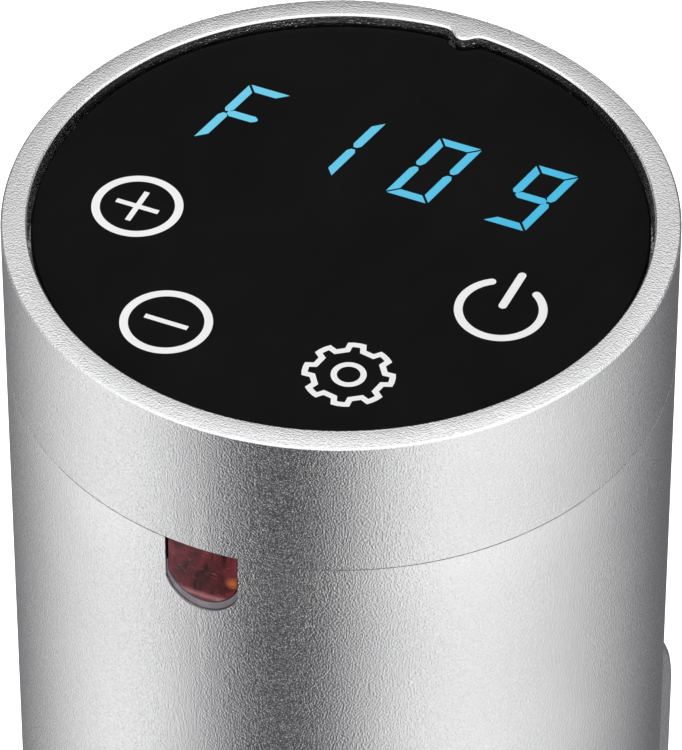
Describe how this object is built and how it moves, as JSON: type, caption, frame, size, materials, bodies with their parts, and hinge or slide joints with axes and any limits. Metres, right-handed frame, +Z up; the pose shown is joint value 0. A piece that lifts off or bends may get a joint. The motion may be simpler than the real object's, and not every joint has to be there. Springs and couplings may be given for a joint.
{
  "type": "sous vide circulator",
  "caption": "Slim round immersion circulator with a metal head, a flat touch panel on top with a temperature readout, a screw clamp on the back and a slotted steel sleeve below.",
  "frame": {"origin": "centre of the foot, on the surface the circulator stands on", "axes": "+Z up along the shaft; the readout's lower edge and the status window face -Y; the clamp is on +Y; +X is to the right of someone who reads the panel"},
  "size_m": [0.064, 0.1233, 0.31],
  "materials": {
    "anodised_aluminium": "satin",
    "raw_aluminium": "satin",
    "stainless_steel": "satin",
    "plated_steel": "satin",
    "black_glass": "gloss",
    "red_lens": "gloss",
    "black_plastic": "matte",
    "white_plastic": "matte",
    "black_rubber": "matte",
    "circuit_board": "satin",
    "brass": "satin",
    "magnet_ferrite": "matte"
  },
  "bodies": {
    "sleeve": {"sleeve": "stainless_steel"},
    "cap": {"bottom_cap": "black_plastic", "base_magnet": "magnet_ferrite", "foot_pad": "black_rubber"},
    "rotor": {"drive_shaft": "stainless_steel", "motor_rotor": "plated_steel", "impeller": "black_plastic", "impeller_nut": "stainless_steel"},
    "shoe": {"pressure_shoe": "stainless_steel", "pressure_pad": "black_rubber"},
    "clamp_screw": {"clamp_screw": "stainless_steel", "clamp_knob": "black_plastic"},
    "head": {"base_ring": "black_plastic", "board_screw_1": "plated_steel", "board_screw_2": "plated_steel", "buzzer": "black_plastic", "choke": "brass", "clamp_hook": "anodised_aluminium", "control_board": "circuit_board", "cord_gland": "black_plastic", "display_module": "white_plastic", "gland_nut": "black_plastic", "glass_panel": "black_glass", "head_seal_ring": "black_rubber", "head_tube": "anodised_aluminium", "heat_sink": "raw_aluminium", "heater_coil": "stainless_steel", "hook_screw_1": "plated_steel", "hook_screw_2": "plated_steel", "inner_frame": "white_plastic", "jaw_pad": "black_rubber", "led_board": "circuit_board", "level_electrode_high": "stainless_steel", "level_electrode_low": "stainless_steel", "mains_capacitor": "white_plastic", "motor_bearing_lower": "brass", "motor_bearing_upper": "brass", "motor_can": "plated_steel", "motor_end_cap": "black_plastic", "motor_magnet": "magnet_ferrite", "motor_mount": "plated_steel", "motor_screw_1": "plated_steel", "motor_screw_2": "plated_steel", "panel_carrier": "black_plastic", "power_board": "circuit_board", "relay": "black_plastic", "seal_plate": "black_plastic", "shaft_seal": "black_rubber", "sleeve_seal_ring": "black_rubber", "smoothing_capacitor": "black_plastic", "status_led": "white_plastic", "status_window": "red_lens", "temperature_probe": "stainless_steel", "top_collar": "anodised_aluminium", "touch_contact_minus": "black_rubber", "touch_contact_plus": "black_rubber", "touch_contact_power": "black_rubber", "touch_contact_settings": "black_rubber", "triac": "black_plastic"}
  },
  "joints": [
    {"name": "head_lift", "type": "slide", "parent": "sleeve", "child": "head", "axis": [0, 0, 1], "range_m": [0, 0.14]},
    {"name": "cap_twist", "type": "hinge", "parent": "sleeve", "child": "cap", "pos_m": [0, 0, 0.017], "axis": [0, 0, 1], "range_deg": [0, 25]},
    {"name": "impeller_spin", "type": "hinge", "parent": "head", "child": "rotor", "pos_m": [0, 0, 0.1], "axis": [0, 0, 1], "continuous": true},
    {"name": "clamp_slide", "type": "slide", "parent": "head", "child": "shoe", "axis": [0, -1, 0], "range_m": [0, 0.0135]},
    {"name": "knob_turn", "type": "hinge", "parent": "shoe", "child": "clamp_screw", "pos_m": [0, 0.08, 0.142], "axis": [0, -1, 0], "range_deg": [0, 1600]}
  ],
  "couplings": [
    {"joint": "clamp_slide", "follows": "knob_turn", "m_per_rad": 0.00047746}
  ]
}
